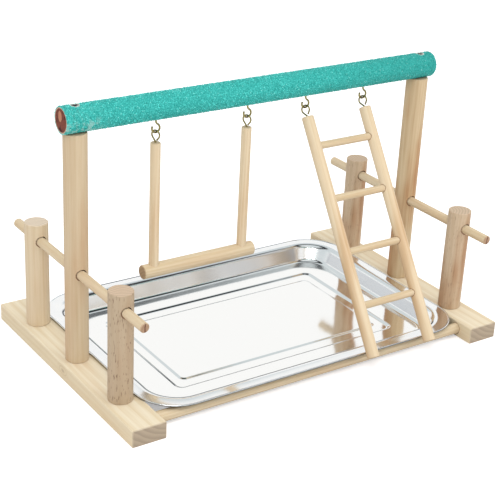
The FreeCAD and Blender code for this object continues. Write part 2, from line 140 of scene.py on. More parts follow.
class Shader:
    """Builds the node tree of one material or world."""

    def __init__(self, owner):
        owner.use_nodes = True
        self.tree = owner.node_tree
        self.tree.nodes.clear()

    def add(self, kind, output=0, settings=None, **inputs):
        return new_node(self.tree, kind, output, settings, **inputs)

    def place(self):
        """Where the shaded point is, in the frame's metres."""
        return self.add("ShaderNodeTexCoord", "Object")

    def normal(self):
        return self.add("ShaderNodeTexCoord", "Normal")

    def part(self, vector, axis):
        """One of a vector's x, y and z."""
        return self.add("ShaderNodeSeparateXYZ", "xyz".index(axis), Vector=vector)

    def math(self, operation, a, b=0.0):
        return self.add("ShaderNodeMath", settings={"operation": operation}, n0=a, n1=b)

    def times(self, first, *others):
        for other in others:
            first = self.math("MULTIPLY", first, other)
        return first

    def vector(self, operation, a, b=(0, 0, 0), output=0):
        return self.add("ShaderNodeVectorMath", output, {"operation": operation}, n0=a, n1=b)

    def length(self, vector):
        return self.vector("LENGTH", vector, output=1)

    def ramp(self, value, low, high, to_low=0.0, to_high=1.0):
        """Smooth step from to_low to to_high while value goes from low to high."""
        return self.add("ShaderNodeMapRange", settings={"interpolation_type": "SMOOTHSTEP"},
                        Value=value, From_Min=low, From_Max=high, To_Min=to_low, To_Max=to_high)

    def mix(self, share, a, b, blend="MIX"):
        """Mixes two colours."""
        return self.add("ShaderNodeMix", 2, {"data_type": "RGBA", "blend_type": blend},
                        n0=share, n6=a, n7=b)

    def noise(self, place, scale, detail=2.0, rough=0.5):
        return self.add("ShaderNodeTexNoise",
                        Vector=place, Scale=scale, Detail=detail, Roughness=rough)

    def bump(self, height, depth, strength=1.0):
        return self.add("ShaderNodeBump", Strength=strength, Distance=depth, Height=height)

    def surface(self, **inputs):
        """Principled surface as the material's output."""
        self.add_output("ShaderNodeOutputMaterial",
                        self.add("ShaderNodeBsdfPrincipled", **inputs))

    def add_output(self, kind, shader):
        out = self.tree.nodes.new(kind)
        self.tree.links.new(shader, out.inputs["Surface"])


def new_shader(name):
    material = bpy.data.materials.new(name)
    return material, Shader(material)


def paint(node, material):
    """Gives a CAD node a better material; its mesh isn't touched."""
    nodes[node].data.materials.clear()
    nodes[node].data.materials.append(material)


print("helpers ready")

# %% [markdown]
# ## Grain
#
# A log is a stack of rings round its pith, and every stick of the stand is cut out of one. A photo
# of wood could be wrapped round each piece, but it would stretch at the ends and show no match
# between a face and its cut end. So the shader works in 3-D: it measures how far a point is from a
# pith line that lies beside the piece. Long faces then get straight grain and cut ends get arcs,
# as sawn wood has.

# %% Where a point lies in the grain


def grain_place(shader, centre, along, lean):
    """Places about the piece's centre, turned so that the grain runs along Z."""
    place = shader.vector("SUBTRACT", shader.place(), tuple(centre))
    if lean:
        place = shader.add("ShaderNodeVectorRotate", 0, {"rotation_type": "X_AXIS"},
                           Vector=place, Angle=lean)
    if along == "X":
        place = shader.add("ShaderNodeVectorRotate", 0, {"rotation_type": "Y_AXIS"},
                           Vector=place, Angle=math.pi / 2)
    if along == "Y":
        place = shader.add("ShaderNodeVectorRotate", 0, {"rotation_type": "X_AXIS"},
                           Vector=place, Angle=math.pi / 2)
    return place


def facing_end(shader, along, lean):
    """1 on cut ends, 0 on long faces."""
    axis = {"X": Vector((1, 0, 0)), "Y": Vector((0, 1, 0)), "Z": Vector((0, 0, 1))}[along]
    axis = Matrix.Rotation(-lean, 3, "X") @ axis
    facing = shader.vector("DOT_PRODUCT", shader.normal(), tuple(axis), 1)
    return shader.ramp(shader.math("ABSOLUTE", facing), 0.6, 0.8)


def drawn_out(shader, place, squeeze):
    """Squeezes places along the grain, which draws any pattern out lengthways."""
    return shader.vector("MULTIPLY", place, (1, 1, squeeze))


print("grain runs along Z in its own places")

# %% Rings
RING_DRIFT = 12 * MM          # how far the rings wander from true circles
RING_DRIFT_SCALE = 26.0


def late_wood(shader, place, pith, ring_width):
    """1 in the dark line of each ring, 0 in the pale wood between."""
    drift = shader.add("ShaderNodeTexNoise", 1, Vector=drawn_out(shader, place, 0.12),
                       Scale=RING_DRIFT_SCALE, Detail=2.0)
    drift = shader.vector("MULTIPLY", drift, (RING_DRIFT, RING_DRIFT, 0))
    from_pith = shader.vector("SUBTRACT", shader.vector("ADD", drift, place), (*pith, 0))
    radius = shader.length(drawn_out(shader, from_pith, 0))
    phase = shader.math("FRACT", shader.math("DIVIDE", radius, ring_width))
    return shader.times(shader.ramp(phase, 0.1, 0.85), shader.ramp(phase, 0.86, 1.0, 1.0, 0.0))


print("rings drift by up to", round(RING_DRIFT / MM), "mm")

# %% [markdown]
# ## Drilled holes and knots
#
# Where a dowel goes through a post, the drill has left a dark, slightly burnt rim, and the boards
# have a small knot each. The rim is drawn partly as that scorch and partly as painted shade where
# the dowel meets the wood. Rims could be painted on a picture for each piece. Here each hole is a
# line in space and each knot a point, and the shader darkens the wood by its distance from them,
# so the marks sit where the model has its holes.

# %% Rims of drilled holes
HOLE_RIM = 0.9 * MM
HOLE_SHARE = 0.85             # how dark the rim gets
WOBBLE_SCALE = 900.0
# Partly scorch, partly painted shade where a dowel meets the wood round its hole.
SCORCH_AND_SHADE = linear(112, 64, 36)


def hole_rims(shader, colour, holes):
    """Scorch and painted shade round hole mouths: (mouth, direction, radius, reach along the hole).
    """
    place = shader.place()
    wobble = shader.times(shader.noise(place, WOBBLE_SCALE), -HOLE_RIM)
    for mouth, direction, radius, reach in holes:
        arm = shader.vector("SUBTRACT", place, tuple(mouth))
        across = shader.vector("CROSS_PRODUCT", arm, tuple(direction))
        distance = shader.math("ADD", shader.length(across), wobble)
        depth = shader.math("ABSOLUTE", shader.vector("DOT_PRODUCT", arm, tuple(direction), 1))
        near = shader.times(
            shader.ramp(distance, radius - 0.3 * HOLE_RIM, radius + 0.4 * HOLE_RIM,
                        HOLE_SHARE, 0.0),
            shader.ramp(depth, reach, reach + 1 * MM, 1.0, 0.0))
        colour = shader.mix(near, colour, SCORCH_AND_SHADE)
    return colour


print("hole rims are", HOLE_RIM / MM, "mm wide")

# %% Knots
KNOT_RING = linear(168, 138, 94)
KNOT_CORE = linear(128, 96, 62)
KNOT_STRETCH = (1, 0.55, 1)   # knots are longer along the board


def knotted(shader, colour, knots):
    """Draws small knots: each is a point and a radius; its rings fade into the wood round it."""
    for point, radius in knots:
        arm = shader.vector("SUBTRACT", shader.place(), tuple(point))
        distance = shader.length(shader.vector("MULTIPLY", arm, KNOT_STRETCH))
        rings = shader.math("FRACT", shader.math("DIVIDE", distance, radius * 0.3))
        lines = shader.times(shader.ramp(rings, 0.3, 0.9, 0.05, 0.32),
                             shader.ramp(distance, radius * 0.5, radius, 1.0, 0.0))
        colour = shader.mix(lines, colour, KNOT_RING)
        core = shader.ramp(distance, radius * 0.1, radius * 0.26, 0.4, 0.0)
        colour = shader.mix(core, colour, KNOT_CORE)
    return colour


print("knots ready")

# %% [markdown]
# ## The wood material
#
# Bare, sanded wood has four layers of pattern: rings, fine fibres, streaks along the grain, and
# slow patches that are warmer than the rest. One ready-made wood texture has only the rings.
# Adding the layers up one by one lets each kind of wood set its own share of each, and the same
# function then makes pine, beech and dowel stock.

# %% Long faces
FIBRE_SCALE = 900.0           # noise scales are in waves per metre
STREAK_SCALE = 160.0
PATCH_SCALE = 40.0
FLECK_SCALE = 820.0
WARMTH = linear(238, 208, 186)
FLECK = linear(98, 72, 52)


def face_colour(shader, place, late, fibres, kind):
    """Pale wood with deeper rings, fibres and streaks, warmer patches and painted shade on board
    sides.
    """
    streaks = shader.noise(drawn_out(shader, place, 0.05), STREAK_SCALE)
    patches = shader.noise(drawn_out(shader, place, 0.2), PATCH_SCALE)
    share = shader.times(late, kind["rings"])
    share = shader.math("ADD", share, shader.ramp(fibres, 0.3, 0.75, 0.0, 0.25))
    share = shader.math("ADD", share, shader.ramp(streaks, 0.42, 0.7, 0.0, 0.25))
    share = shader.math("ADD", share, shader.ramp(patches, 0.48, 0.68, 0.0, kind["mottle"]))
    colour = shader.mix(share, linear(*kind["pale"]), linear(*kind["deep"]))
    warm = shader.mix(1.0, colour, WARMTH, "MULTIPLY")
    colour = shader.mix(shader.ramp(patches, 0.45, 0.75, 0.0, kind["heart"]), colour, warm)
    if kind["flecks"]:
        spots = shader.noise(drawn_out(shader, place, 0.2), FLECK_SCALE, 1.0)
        where = shader.ramp(shader.noise(place, 60.0), 0.4, 0.6, 0.5, 1.0)
        fleck = shader.times(shader.ramp(spots, 0.62, 0.69, 0.0, kind["flecks"]), where)
        colour = shader.mix(fleck, colour, FLECK)
    if kind["painted_side_shade"]:
        # Painted shade: the boards' long sides, which face along X, are drawn darker than their
        # tops.
        side = shader.times(facing_end(shader, "X", 0.0), kind["painted_side_shade"])
        colour = shader.mix(side, colour, linear(*kind["deep"]))
    return colour


print("face colour ready")

# %% Cut ends
PORE_SCALE = 1400.0
CHECK = linear(96, 58, 40)
CHECK_OFF_CENTRE = 1.2 * MM


def end_colour(shader, place, late, kind):
    """Arcs of late wood with open pores and, in some kinds, a check: a split from drying."""
    end, check = kind["end"], kind["check"]
    colour = shader.mix(shader.times(late, 0.6), linear(*end), linear(*shaded(end, 0.84)))
    pores = shader.noise(place, PORE_SCALE, 2.0, 0.6)
    colour = shader.mix(shader.ramp(pores, 0.55, 0.8, 0.0, 0.35), colour,
                        linear(*shaded(end, 0.6)))
    if check:
        bent = shader.math("ADD", shader.part(place, "x"),
                           shader.times(shader.noise(place, 300.0), 2 * MM))
        split = shader.math("ABSOLUTE", shader.math("SUBTRACT", bent, CHECK_OFF_CENTRE))
        colour = shader.mix(shader.ramp(split, 0.5 * check, check, 0.85, 0.0), colour, CHECK)
    return colour


print("end colour ready")

# %% Faces, ends, knots and holes in one material
PLAIN = {"ring_width": 3.6 * MM, "heart": 0.25, "mottle": 0.0, "flecks": 0.0, "painted_side_shade": 0.0,
         "check": 0.0}


def wood(name, centre, kind, pith, along="Z", lean=0.0, holes=(), knots=()):
    """Bare wood of one piece: its kind, where its pith lies and which way the grain runs."""
    kind = {**PLAIN, **kind}
    material, shader = new_shader(name)
    place = grain_place(shader, centre, along, lean)
    late = late_wood(shader, place, pith, kind["ring_width"])
    fibres = shader.noise(drawn_out(shader, place, 0.03), FIBRE_SCALE, 3.0, 0.6)
    colour = shader.mix(facing_end(shader, along, lean),
                        face_colour(shader, place, late, fibres, kind),
                        end_colour(shader, place, late, kind))
    colour = hole_rims(shader, knotted(shader, colour, knots), holes)
    shader.surface(Base_Color=colour, Roughness=0.62, Specular_IOR_Level=0.3,
                   Normal=shader.bump(fibres, 0.15 * MM, 0.25))
    return material


print("wood material ready")

# %% [markdown]
# ## Kinds of wood
#
# The boards are pine with wide rings, the palest wood of all. The posts are turned from mixed
# stock: the short one at the front left is a speckled beech, those on the right are darker and
# mottled, and the rest are sound. The thin dowels are pale and plain. One wood for all would look
# like plastic, so each kind has its tones for long faces (pale to deep) and for cut ends, and its
# share of each layer.

# %% Tones and shares of each kind
# Pine's last share is painted shade on the boards' long sides.
PINE = {"pale": (225, 214, 190), "deep": (204, 183, 144), "end": (170, 153, 131),
        "ring_width": 5.5 * MM, "rings": 0.3, "painted_side_shade": 0.4}
STICK = {"pale": (210, 193, 163), "deep": (190, 166, 128), "end": (200, 178, 146),
         "rings": 0.35}
LONG_STICK = dict(STICK, pale=(217, 199, 169), deep=(197, 172, 134))
RAIL = dict(LONG_STICK, heart=0.5, mottle=0.3)
SIDE_PERCH = dict(STICK, end=(170, 138, 110), check=0.9 * MM)
SWING_BAR = dict(STICK, end=(160, 132, 98))
TALL_POST = {"left": {"pale": (199, 180, 150), "deep": (183, 157, 121), "end": (196, 170, 142),
                      "rings": 0.2, "heart": 0.5},
             "right": {"pale": (200, 179, 145), "deep": (172, 142, 104), "end": (196, 170, 142),
                       "rings": 0.25, "heart": 0.9, "mottle": 0.35}}
SPECKLED = {"pale": (182, 163, 137), "deep": (164, 141, 113), "end": (200, 176, 150),
            "rings": 0.12, "flecks": 0.7}
SOUND = {"pale": (211, 194, 165), "deep": (193, 169, 133), "end": (214, 198, 176), "rings": 0.2}
MOTTLED = {"pale": (198, 177, 150), "deep": (166, 140, 110), "end": (196, 174, 148),
           "rings": 0.1, "flecks": 0.3, "heart": 0.9, "mottle": 0.45}
SHORT_POST = {"front_left": SPECKLED, "rear_left": SOUND, "front_right": MOTTLED,
              "rear_right": MOTTLED}
print("short posts:", {place: kind["pale"] for place, kind in SHORT_POST.items()})

# %% [markdown]
# ## Boards and posts
#
# Two flat boards carry six round posts. The boards are sawn alike, so the pith lies the same way
# from both. The posts would look like copies if they shared one pith line, so each gets its own, at
# a seeded random angle. The places of the holes could be typed in, but they are read from the
# dowels that sit in them: a side perch passes right through its three posts, and a crossbar ends
# in the inner face of a board.

# %% Pith lines and holes
WHOLE_HOLE = 1.0              # reach of a hole that goes right through: past any piece
chance = random.Random(7)


def beside(distance):
    """A pith line at this distance from the piece, in a direction of its own."""
    angle = chance.uniform(0, 2 * math.pi)
    return (distance * math.cos(angle), distance * math.sin(angle))


def through_hole(node, direction, play):
    """The hole that a round node passes right through."""
    return (centre_of(node), direction, min(span_of(node)) / 2 + play, WHOLE_HOLE)


def blind_hole(node, host, reach):
    """The hole in host that the end of a node lying along X sits in."""
    mouth = centre_of(node)
    toward = 1 if centre_of(host).x > mouth.x else -1
    mouth.x = centre_of(host).x - toward * span_of(host).x / 2
    return (mouth, (1, 0, 0), min(span_of(node)) / 2, reach)


print("a crossbar's hole:", blind_hole("crossbar_front", "base_board_left", 2 * MM))

# %% Boards, posts and side perches
CROSSBARS = ["crossbar_front", "crossbar_rear"]
BOARD_PITH = (35 * MM, -50 * MM)
PERCH_PLAY = 0.6 * MM         # the side perches are loose in their holes
# Each knot is a point on a board's outer side and the knot's radius.
BOARD_KNOTS = {"left": [(Vector((-230, -3, 11)) * MM, 8 * MM)],
               "right": [(Vector((230, 70, 6)) * MM, 9 * MM)]}

for side in ("left", "right"):
    board, perch, tall = "base_board_" + side, "side_perch_" + side, "tall_post_" + side
    mouths = [blind_hole(bar, board, 2 * MM) for bar in CROSSBARS]
    paint(board, wood("pine_" + board, centre_of(board), PINE, BOARD_PITH, "Y",
                      holes=mouths, knots=BOARD_KNOTS[side]))
    hole = [through_hole(perch, (0, 1, 0), PERCH_PLAY)]
    paint(tall, wood("wood_" + tall, centre_of(tall), TALL_POST[side], beside(30 * MM), holes=hole))
    for end in ("front", "rear"):
        post = "short_post_%s_%s" % (end, side)
        paint(post, wood("wood_" + post, centre_of(post), SHORT_POST[end + "_" + side],
                         beside(25 * MM), holes=hole))
    paint(perch, wood("wood_" + perch, centre_of(perch), SIDE_PERCH, beside(20 * MM), "Y"))
    print(side, "board, three posts and a perch")

# %% [markdown]
# ## Swing, ladder and crossbars
#
# These are plain dowels. The ladder leans, and its grain has to lean with it, or the rings would
# cut across its rails in slices. The lean could be typed in; it is read from the places of the
# first and last rung instead.

# %% Dowels
LADDER_TOP = centre_of("ladder_rung_1")
LADDER_LOW = centre_of("ladder_rung_4")
LADDER_SLOPE = math.atan2(LADDER_TOP.y - LADDER_LOW.y, LADDER_TOP.z - LADDER_LOW.z)
RUNGS = ["ladder_rung_1", "ladder_rung_2", "ladder_rung_3", "ladder_rung_4"]

for bar in CROSSBARS:
    paint(bar, wood("wood_" + bar, centre_of(bar), STICK, beside(30 * MM), "X"))
for rail in ("ladder_rail_left", "ladder_rail_right"):
    holes = [blind_hole(rung, rail, 4 * MM) for rung in RUNGS]
    paint(rail, wood("wood_" + rail, centre_of(rail), RAIL, beside(20 * MM), lean=LADDER_SLOPE,
                     holes=holes))
for rung in RUNGS:
    paint(rung, wood("wood_" + rung, centre_of(rung), STICK, beside(20 * MM), "X"))
for upright in ("swing_upright_left", "swing_upright_right"):
    paint(upright, wood("wood_" + upright, centre_of(upright), LONG_STICK, beside(20 * MM)))
paint("swing_bar", wood("wood_swing_bar", centre_of("swing_bar"), SWING_BAR, beside(12 * MM), "X"))
print("ladder leans", round(math.degrees(LADDER_SLOPE), 1), "degrees")

# %% [markdown]
# ## The top perch under its grit
#
# The perch is a reddish dowel. Its sawn ends are torn, with a pale chip in the left one and a thin
# rim of dried glue, and a screw near each end has chipped the coat round its head. A chip could be
# modelled, but it is only a change of colour with a rough surface, so the shader draws it. The
# bare patches go through both the coat and the wood, so both materials share one function.

# %% Bare patches round the perch screws
PERCH_AXIS = centre_of("top_perch_grit")
SCREW_X = (span_of("perch_screws").x - span_of("perch_screws").y) / 2
PATCH_RADIUS = 5.4 * MM
CHIPPED = linear(216, 214, 206)


def chipped_at_screws(shader, colour, ragged):
    """Pale bare patch on the perch round each of its two screws."""
    place = shader.place()
    above = shader.ramp(shader.part(place, "z"), PERCH_AXIS.z + 8 * MM, PERCH_AXIS.z + 10 * MM)
    for screw_x in (-SCREW_X, SCREW_X):
        arm = shader.vector("SUBTRACT", place, (screw_x, PERCH_AXIS.y, 0))
        ring = shader.length(shader.vector("MULTIPLY", arm, (1, 1, 0)))
        ring = shader.math("ADD", ring, shader.times(ragged, 2 * MM))
        bare = shader.ramp(ring, PATCH_RADIUS, PATCH_RADIUS + 0.8 * MM, 0.9, 0.0)
        colour = shader.mix(shader.times(bare, above), colour, CHIPPED)
    return colour


print("screws at x =", round(SCREW_X / MM, 1), "mm")

# %% Wood of the perch
PERCH_HALF_LENGTH = span_of("top_perch_grit").x / 2
CORE_RADIUS = span_of("top_perch_dowel").z / 2
CHIP = (-PERCH_HALF_LENGTH, 1.6 * MM, 3.6 * MM)
CHIP_STRETCH = (1.0, 1.5, 0.9)
CHIP_RADIUS = 7.4 * MM
GLUE_RIM = 1.4 * MM
TORN_DARK = linear(66, 26, 19)
TORN_PALE = linear(120, 62, 46)
OPEN_PORE = linear(70, 32, 24)
FRESH_CHIP = linear(184, 128, 98)
DRIED_GLUE = linear(190, 154, 130)


def perch_core():
    """Reddish wood under the grit: torn end grain with a pale chip, and a rim of glue."""
    material, shader = new_shader("wood_perch_core")
    place = shader.vector("SUBTRACT", shader.place(), tuple(PERCH_AXIS))
    torn = shader.noise(place, 130.0, 3.0, 0.6)
    fine = shader.noise(place, 900.0, 2.0, 0.6)
    colour = shader.mix(shader.ramp(torn, 0.40, 0.58), TORN_DARK, TORN_PALE)
    colour = shader.mix(shader.ramp(fine, 0.5, 0.75, 0.0, 0.5), colour, OPEN_PORE)
    chip = shader.vector("MULTIPLY", shader.vector("SUBTRACT", place, CHIP), CHIP_STRETCH)
    from_chip = shader.math("ADD", shader.length(chip), shader.times(torn, 5 * MM))
    in_chip = shader.ramp(from_chip, CHIP_RADIUS, CHIP_RADIUS + 0.8 * MM, 0.85, 0.0)
    colour = shader.mix(in_chip, colour, FRESH_CHIP)
    from_axis = shader.length(shader.vector("MULTIPLY", place, (0, 1, 1)))
    glue = shader.ramp(from_axis, CORE_RADIUS - GLUE_RIM, CORE_RADIUS - 0.6 * MM)
    colour = shader.mix(glue, colour, DRIED_GLUE)
    colour = chipped_at_screws(shader, colour, torn)
    shader.surface(Base_Color=colour, Roughness=0.7, Specular_IOR_Level=0.2,
                   Normal=shader.bump(torn, 1 * MM, 0.8))
    return material


paint("top_perch_dowel", perch_core())
print("perch", round(2 * PERCH_HALF_LENGTH / MM, 1), "mm long, core", round(2 * CORE_RADIUS / MM),
      "mm thick")

# %% [markdown]
# ## Brass and zinc
#
# The hooks and eyes are steel wire with a thin brass plate, a little olive in its shade, and the
# screws are zinc plated. A plain metal with one colour would do for wire this thin, but a closer
# look shows worn spots, so a fine noise shades the colour and roughens it a little.

# %% Plated metal
PLATE_WEAR = 0.25
PLATE_WAVES = 0.02 * MM


def plated(name, colour, roughness, wave_scale):
    """Plated metal with faint waves and fine worn marks."""
    material, shader = new_shader(name)
    place = shader.place()
    wave = shader.noise(place, wave_scale, 1.0, 0.4)
    fine = shader.noise(place, 700.0, 2.0, 0.6)
    tone = shader.mix(shader.ramp(fine, 0.35, 0.75, 0.0, PLATE_WEAR), linear(*colour),
                      linear(*shaded(colour, 0.72)))
    rough = shader.ramp(fine, 0.3, 0.8, roughness, roughness + 0.4 * PLATE_WEAR)
    shader.surface(Base_Color=tone, Metallic=1.0, Roughness=rough,
                   Normal=shader.bump(wave, PLATE_WAVES))
    return material


BRASS = plated("brass_plate", (152, 142, 90), 0.14, 900.0)
ZINC = plated("zinc_plate", (104, 102, 100), 0.3, 700.0)
for name in nodes:
    if "_hook_" in name or "_eye_" in name:
        paint(name, BRASS)
    elif name.endswith("screws"):
        paint(name, ZINC)
print("brass on", sum(1 for n in nodes.values() if n.data.materials[0] == BRASS), "wires")

# %% [markdown]
# ## Grit
#
# The top perch is rolled in coloured sand while its glue is wet. A bumpy shader alone would keep
# the outline of a smooth tube, and millions of real grains would be too heavy. So there are two
# layers: the CAD sleeve stays as the glue coat with a bumpy shader, and coarse grains lie on it
# and break up its outline. Both use this material. A grain carries its own "tone", and the sleeve,
# which has none, takes the least tone.

# %% Grit material
LEAST_TONE = 0.4
MOST_TONE = 1.2
SAND_DEEP = linear(9, 146, 138)
SAND_PALE = linear(90, 222, 213)
SAND_AT_RIGHT = linear(22, 138, 130)
SPARKLE = linear(190, 236, 230)
WORN = linear(188, 214, 206)


def grit(name):
    """Teal sand, deeper to the right and worn pale low down near the left end."""
    material, shader = new_shader(name)
    place = shader.place()
    x, z = shader.part(place, "x"), shader.part(place, "z")
    specks = shader.noise(place, 950.0, 2.0, 0.6)
    own = shader.add("ShaderNodeAttribute", 2, {"attribute_name": "tone"})
    own = shader.math("MAXIMUM", own, LEAST_TONE)
    tone = shader.math("ADD", own, shader.ramp(specks, 0.3, 0.72, 0.0, 0.45))
    colour = shader.mix(shader.ramp(tone, LEAST_TONE, MOST_TONE), SAND_DEEP, SAND_PALE)
    to_right = shader.ramp(x, 0.0, PERCH_HALF_LENGTH, 0.0, 0.5)
    colour = shader.mix(to_right, colour, SAND_AT_RIGHT)
    colour = shader.mix(shader.ramp(own, 0.93, 0.96, 0.0, 0.3), colour, SPARKLE)
    near_end = shader.ramp(x, -PERCH_HALF_LENGTH * 0.78, -PERCH_HALF_LENGTH * 0.9)
    low = shader.ramp(z, PERCH_AXIS.z - 7 * MM, PERCH_AXIS.z + 5 * MM, 1.0, 0.1)
    worn = shader.ramp(shader.noise(place, 210.0, 3.0, 0.7), 0.46, 0.58)
    colour = shader.mix(shader.times(worn, near_end, low, 0.5), colour, WORN)
    colour = chipped_at_screws(shader, colour, specks)
    shader.surface(Base_Color=colour, Roughness=0.55, Specular_IOR_Level=0.4,
                   Normal=shader.bump(specks, 0.3 * MM, 0.8))
    return material


GRIT = grit("teal_grit")
paint("top_perch_grit", GRIT)
print("grit material ready")

# %% [markdown]
# ## Grains
#
# The grains are 0.7 to 1.7 mm across and lie at random, each turned its own way. Scattering copies
# in a Python loop would be slow and hard to change. Geometry Nodes do it as a recipe with named
# inputs: points on the sleeve's outer faces, an eight-sided grain on each, and a random turn, size
# and tone with fixed seeds. The recipe runs once for each half of the perch, which keeps each
# piece light, and its result becomes a plain mesh.

# %% Recipe: a Geometry Nodes group


class Recipe:
    """A Geometry Nodes group with named inputs."""

    def __init__(self, name):
        self.group = bpy.data.node_groups.new(name, "GeometryNodeTree")
        for way in ("INPUT", "OUTPUT"):
            self.group.interface.new_socket("Geometry", in_out=way,
                                            socket_type="NodeSocketGeometry")
        self.start = self.group.nodes.new("NodeGroupInput")
        self.end = self.group.nodes.new("NodeGroupOutput")

    def input(self, name, kind, default):
        socket = self.group.interface.new_socket(name, in_out="INPUT", socket_type=kind)
        socket.default_value = default
        return self.start.outputs[name]

    def add(self, kind, output=0, settings=None, **inputs):
        return new_node(self.group, kind, output, settings, **inputs)

    def math(self, operation, a, b=0.0):
        return self.add("ShaderNodeMath", 0, {"operation": operation}, n0=a, n1=b)

    def compare(self, operation, a, b):
        return self.add("FunctionNodeCompare", 0, {"data_type": "FLOAT", "operation": operation},
                        n0=a, n1=b)

    def both(self, a, b):
        return self.add("FunctionNodeBooleanMath", 0, {"operation": "AND"}, n0=a, n1=b)

    def finish(self, geometry):
        self.group.links.new(geometry, self.end.inputs[0])
        return self.group


print("recipe ready")

# %% Points on the sleeve, a grain on each
TONE_SEED = 7


def grain_recipe():
    recipe = Recipe("strew_grains")
    density = recipe.input("Grains per square metre", "NodeSocketFloat", 500000.0)
    small = recipe.input("Smallest grain", "NodeSocketFloat", 0.35 * MM)
    large = recipe.input("Largest grain", "NodeSocketFloat", 0.85 * MM)
    start_x = recipe.input("From x", "NodeSocketFloat", -1.0)
    end_x = recipe.input("To x", "NodeSocketFloat", 1.0)
    seed = recipe.input("Seed", "NodeSocketInt", 1)
    axis_y = recipe.input("Axis y", "NodeSocketFloat", 0.0)
    axis_z = recipe.input("Axis z", "NodeSocketFloat", 0.0)
    inner = recipe.input("Inner radius", "NodeSocketFloat", 0.0)

    place = recipe.add("GeometryNodeInputPosition")
    x, y, z = [recipe.add("ShaderNodeSeparateXYZ", axis, Vector=place) for axis in range(3)]
    away = recipe.add("ShaderNodeCombineXYZ", n1=recipe.math("SUBTRACT", y, axis_y),
                      n2=recipe.math("SUBTRACT", z, axis_z))
    radius = recipe.add("ShaderNodeVectorMath", 1, {"operation": "LENGTH"}, n0=away)
    outside = recipe.compare("GREATER_THAN", radius, inner)
    points = recipe.add("GeometryNodeDistributePointsOnFaces", 0, {"distribute_method": "RANDOM"},
                        Mesh=recipe.start.outputs[0], Selection=outside, Density=density,
                        Seed=seed)
    in_range = recipe.both(recipe.compare("GREATER_EQUAL", x, start_x),
                           recipe.compare("LESS_THAN", x, end_x))
    turn = recipe.add("FunctionNodeRandomValue", 0, {"data_type": "FLOAT_VECTOR"},
                      n0=(0, 0, 0), n1=(math.tau, math.tau, math.tau), Seed=seed)
    scale = recipe.add("FunctionNodeRandomValue", 1, {"data_type": "FLOAT"},
                       n2=small, n3=large, Seed=seed)
    grain = recipe.add("GeometryNodeMeshUVSphere", Segments=4, Rings=2, Radius=1.0)
    placed = recipe.add("GeometryNodeInstanceOnPoints", Points=points, Selection=in_range,
                        Instance=grain, Rotation=turn, Scale=scale)
    tone = recipe.add("FunctionNodeRandomValue", 1, {"data_type": "FLOAT"}, Seed=TONE_SEED)
    marked = recipe.add("GeometryNodeStoreNamedAttribute", 0,
                        {"data_type": "FLOAT", "domain": "INSTANCE"},
                        Geometry=placed, Name="tone", Value=tone)
    solid = recipe.add("GeometryNodeRealizeInstances", Geometry=marked)
    return recipe.finish(recipe.add("GeometryNodeSetMaterial", Geometry=solid, Material=GRIT))


grains = grain_recipe()
print(len(grains.nodes), "nodes strew the grains")

# %% Run the recipe, half a perch at a time
FIRST_SEED = 11


def converted(name, source_mesh, group, values, body):
    """Runs a node group on a copy of a mesh and keeps the result as a plain piece."""
    maker = bpy.data.objects.new(name + "_maker", source_mesh.copy())
    bpy.context.scene.collection.objects.link(maker)
    modifier = maker.modifiers.new("nodes", "NODES")
    modifier.node_group = group
    for item in group.interface.items_tree:
        if item.item_type == "SOCKET" and item.in_out == "INPUT" and item.name in values:
            modifier[item.identifier] = values[item.name]
    bpy.context.view_layer.update()
    evaluated = maker.evaluated_get(bpy.context.evaluated_depsgraph_get())
    mesh = bpy.data.meshes.new_from_object(evaluated)
    bpy.data.objects.remove(maker)
    mesh.name = name
    piece = bpy.data.objects.new(name, mesh)
    bpy.context.scene.collection.objects.link(piece)
    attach(piece, body)
    return piece


for index, (name, start_x, end_x) in enumerate((("grit_grains_left", -1.0, 0.0),
                                                ("grit_grains_right", 0.0, 1.0))):
    piece = converted(name, nodes["top_perch_grit"].data, grains,
                      {"From x": start_x, "To x": end_x, "Seed": FIRST_SEED + index,
                       "Axis y": PERCH_AXIS.y, "Axis z": PERCH_AXIS.z,
                       "Inner radius": CORE_RADIUS + 0.2 * MM}, "stand")
    print(piece.name, len(piece.data.polygons), "faces")

# %% [markdown]
# ## Polished steel
#
# The tray is polished sheet steel, and a mirror shows mostly what stands round it. Its floor stays
# as flat and sharp as the sheet came. The press has drawn the walls, which leaves them a little
# duller. The rolled edge is painted dark where it faces down: painted shade in its fold. One even
# mirror would look like glass, so roughness and tone follow the height and the slope of the sheet.

# %% Mirror sheet
FLOOR_Z = 3.5 * MM            # top side of the pan's floor
FLAT_ROUGHNESS = 0.08
DRAWN_ROUGHNESS = 0.12
STEEP_ROUGHNESS = 0.1         # added where the sheet is steep
FLAT_TONE = linear(251, 251, 250)
DRAWN_TONE = linear(243, 245, 247)
# Painted shade: a dark tone for the underside of the rolled edge, where its fold would be in
# shadow.
FOLD_SHADE = linear(112, 118, 118)


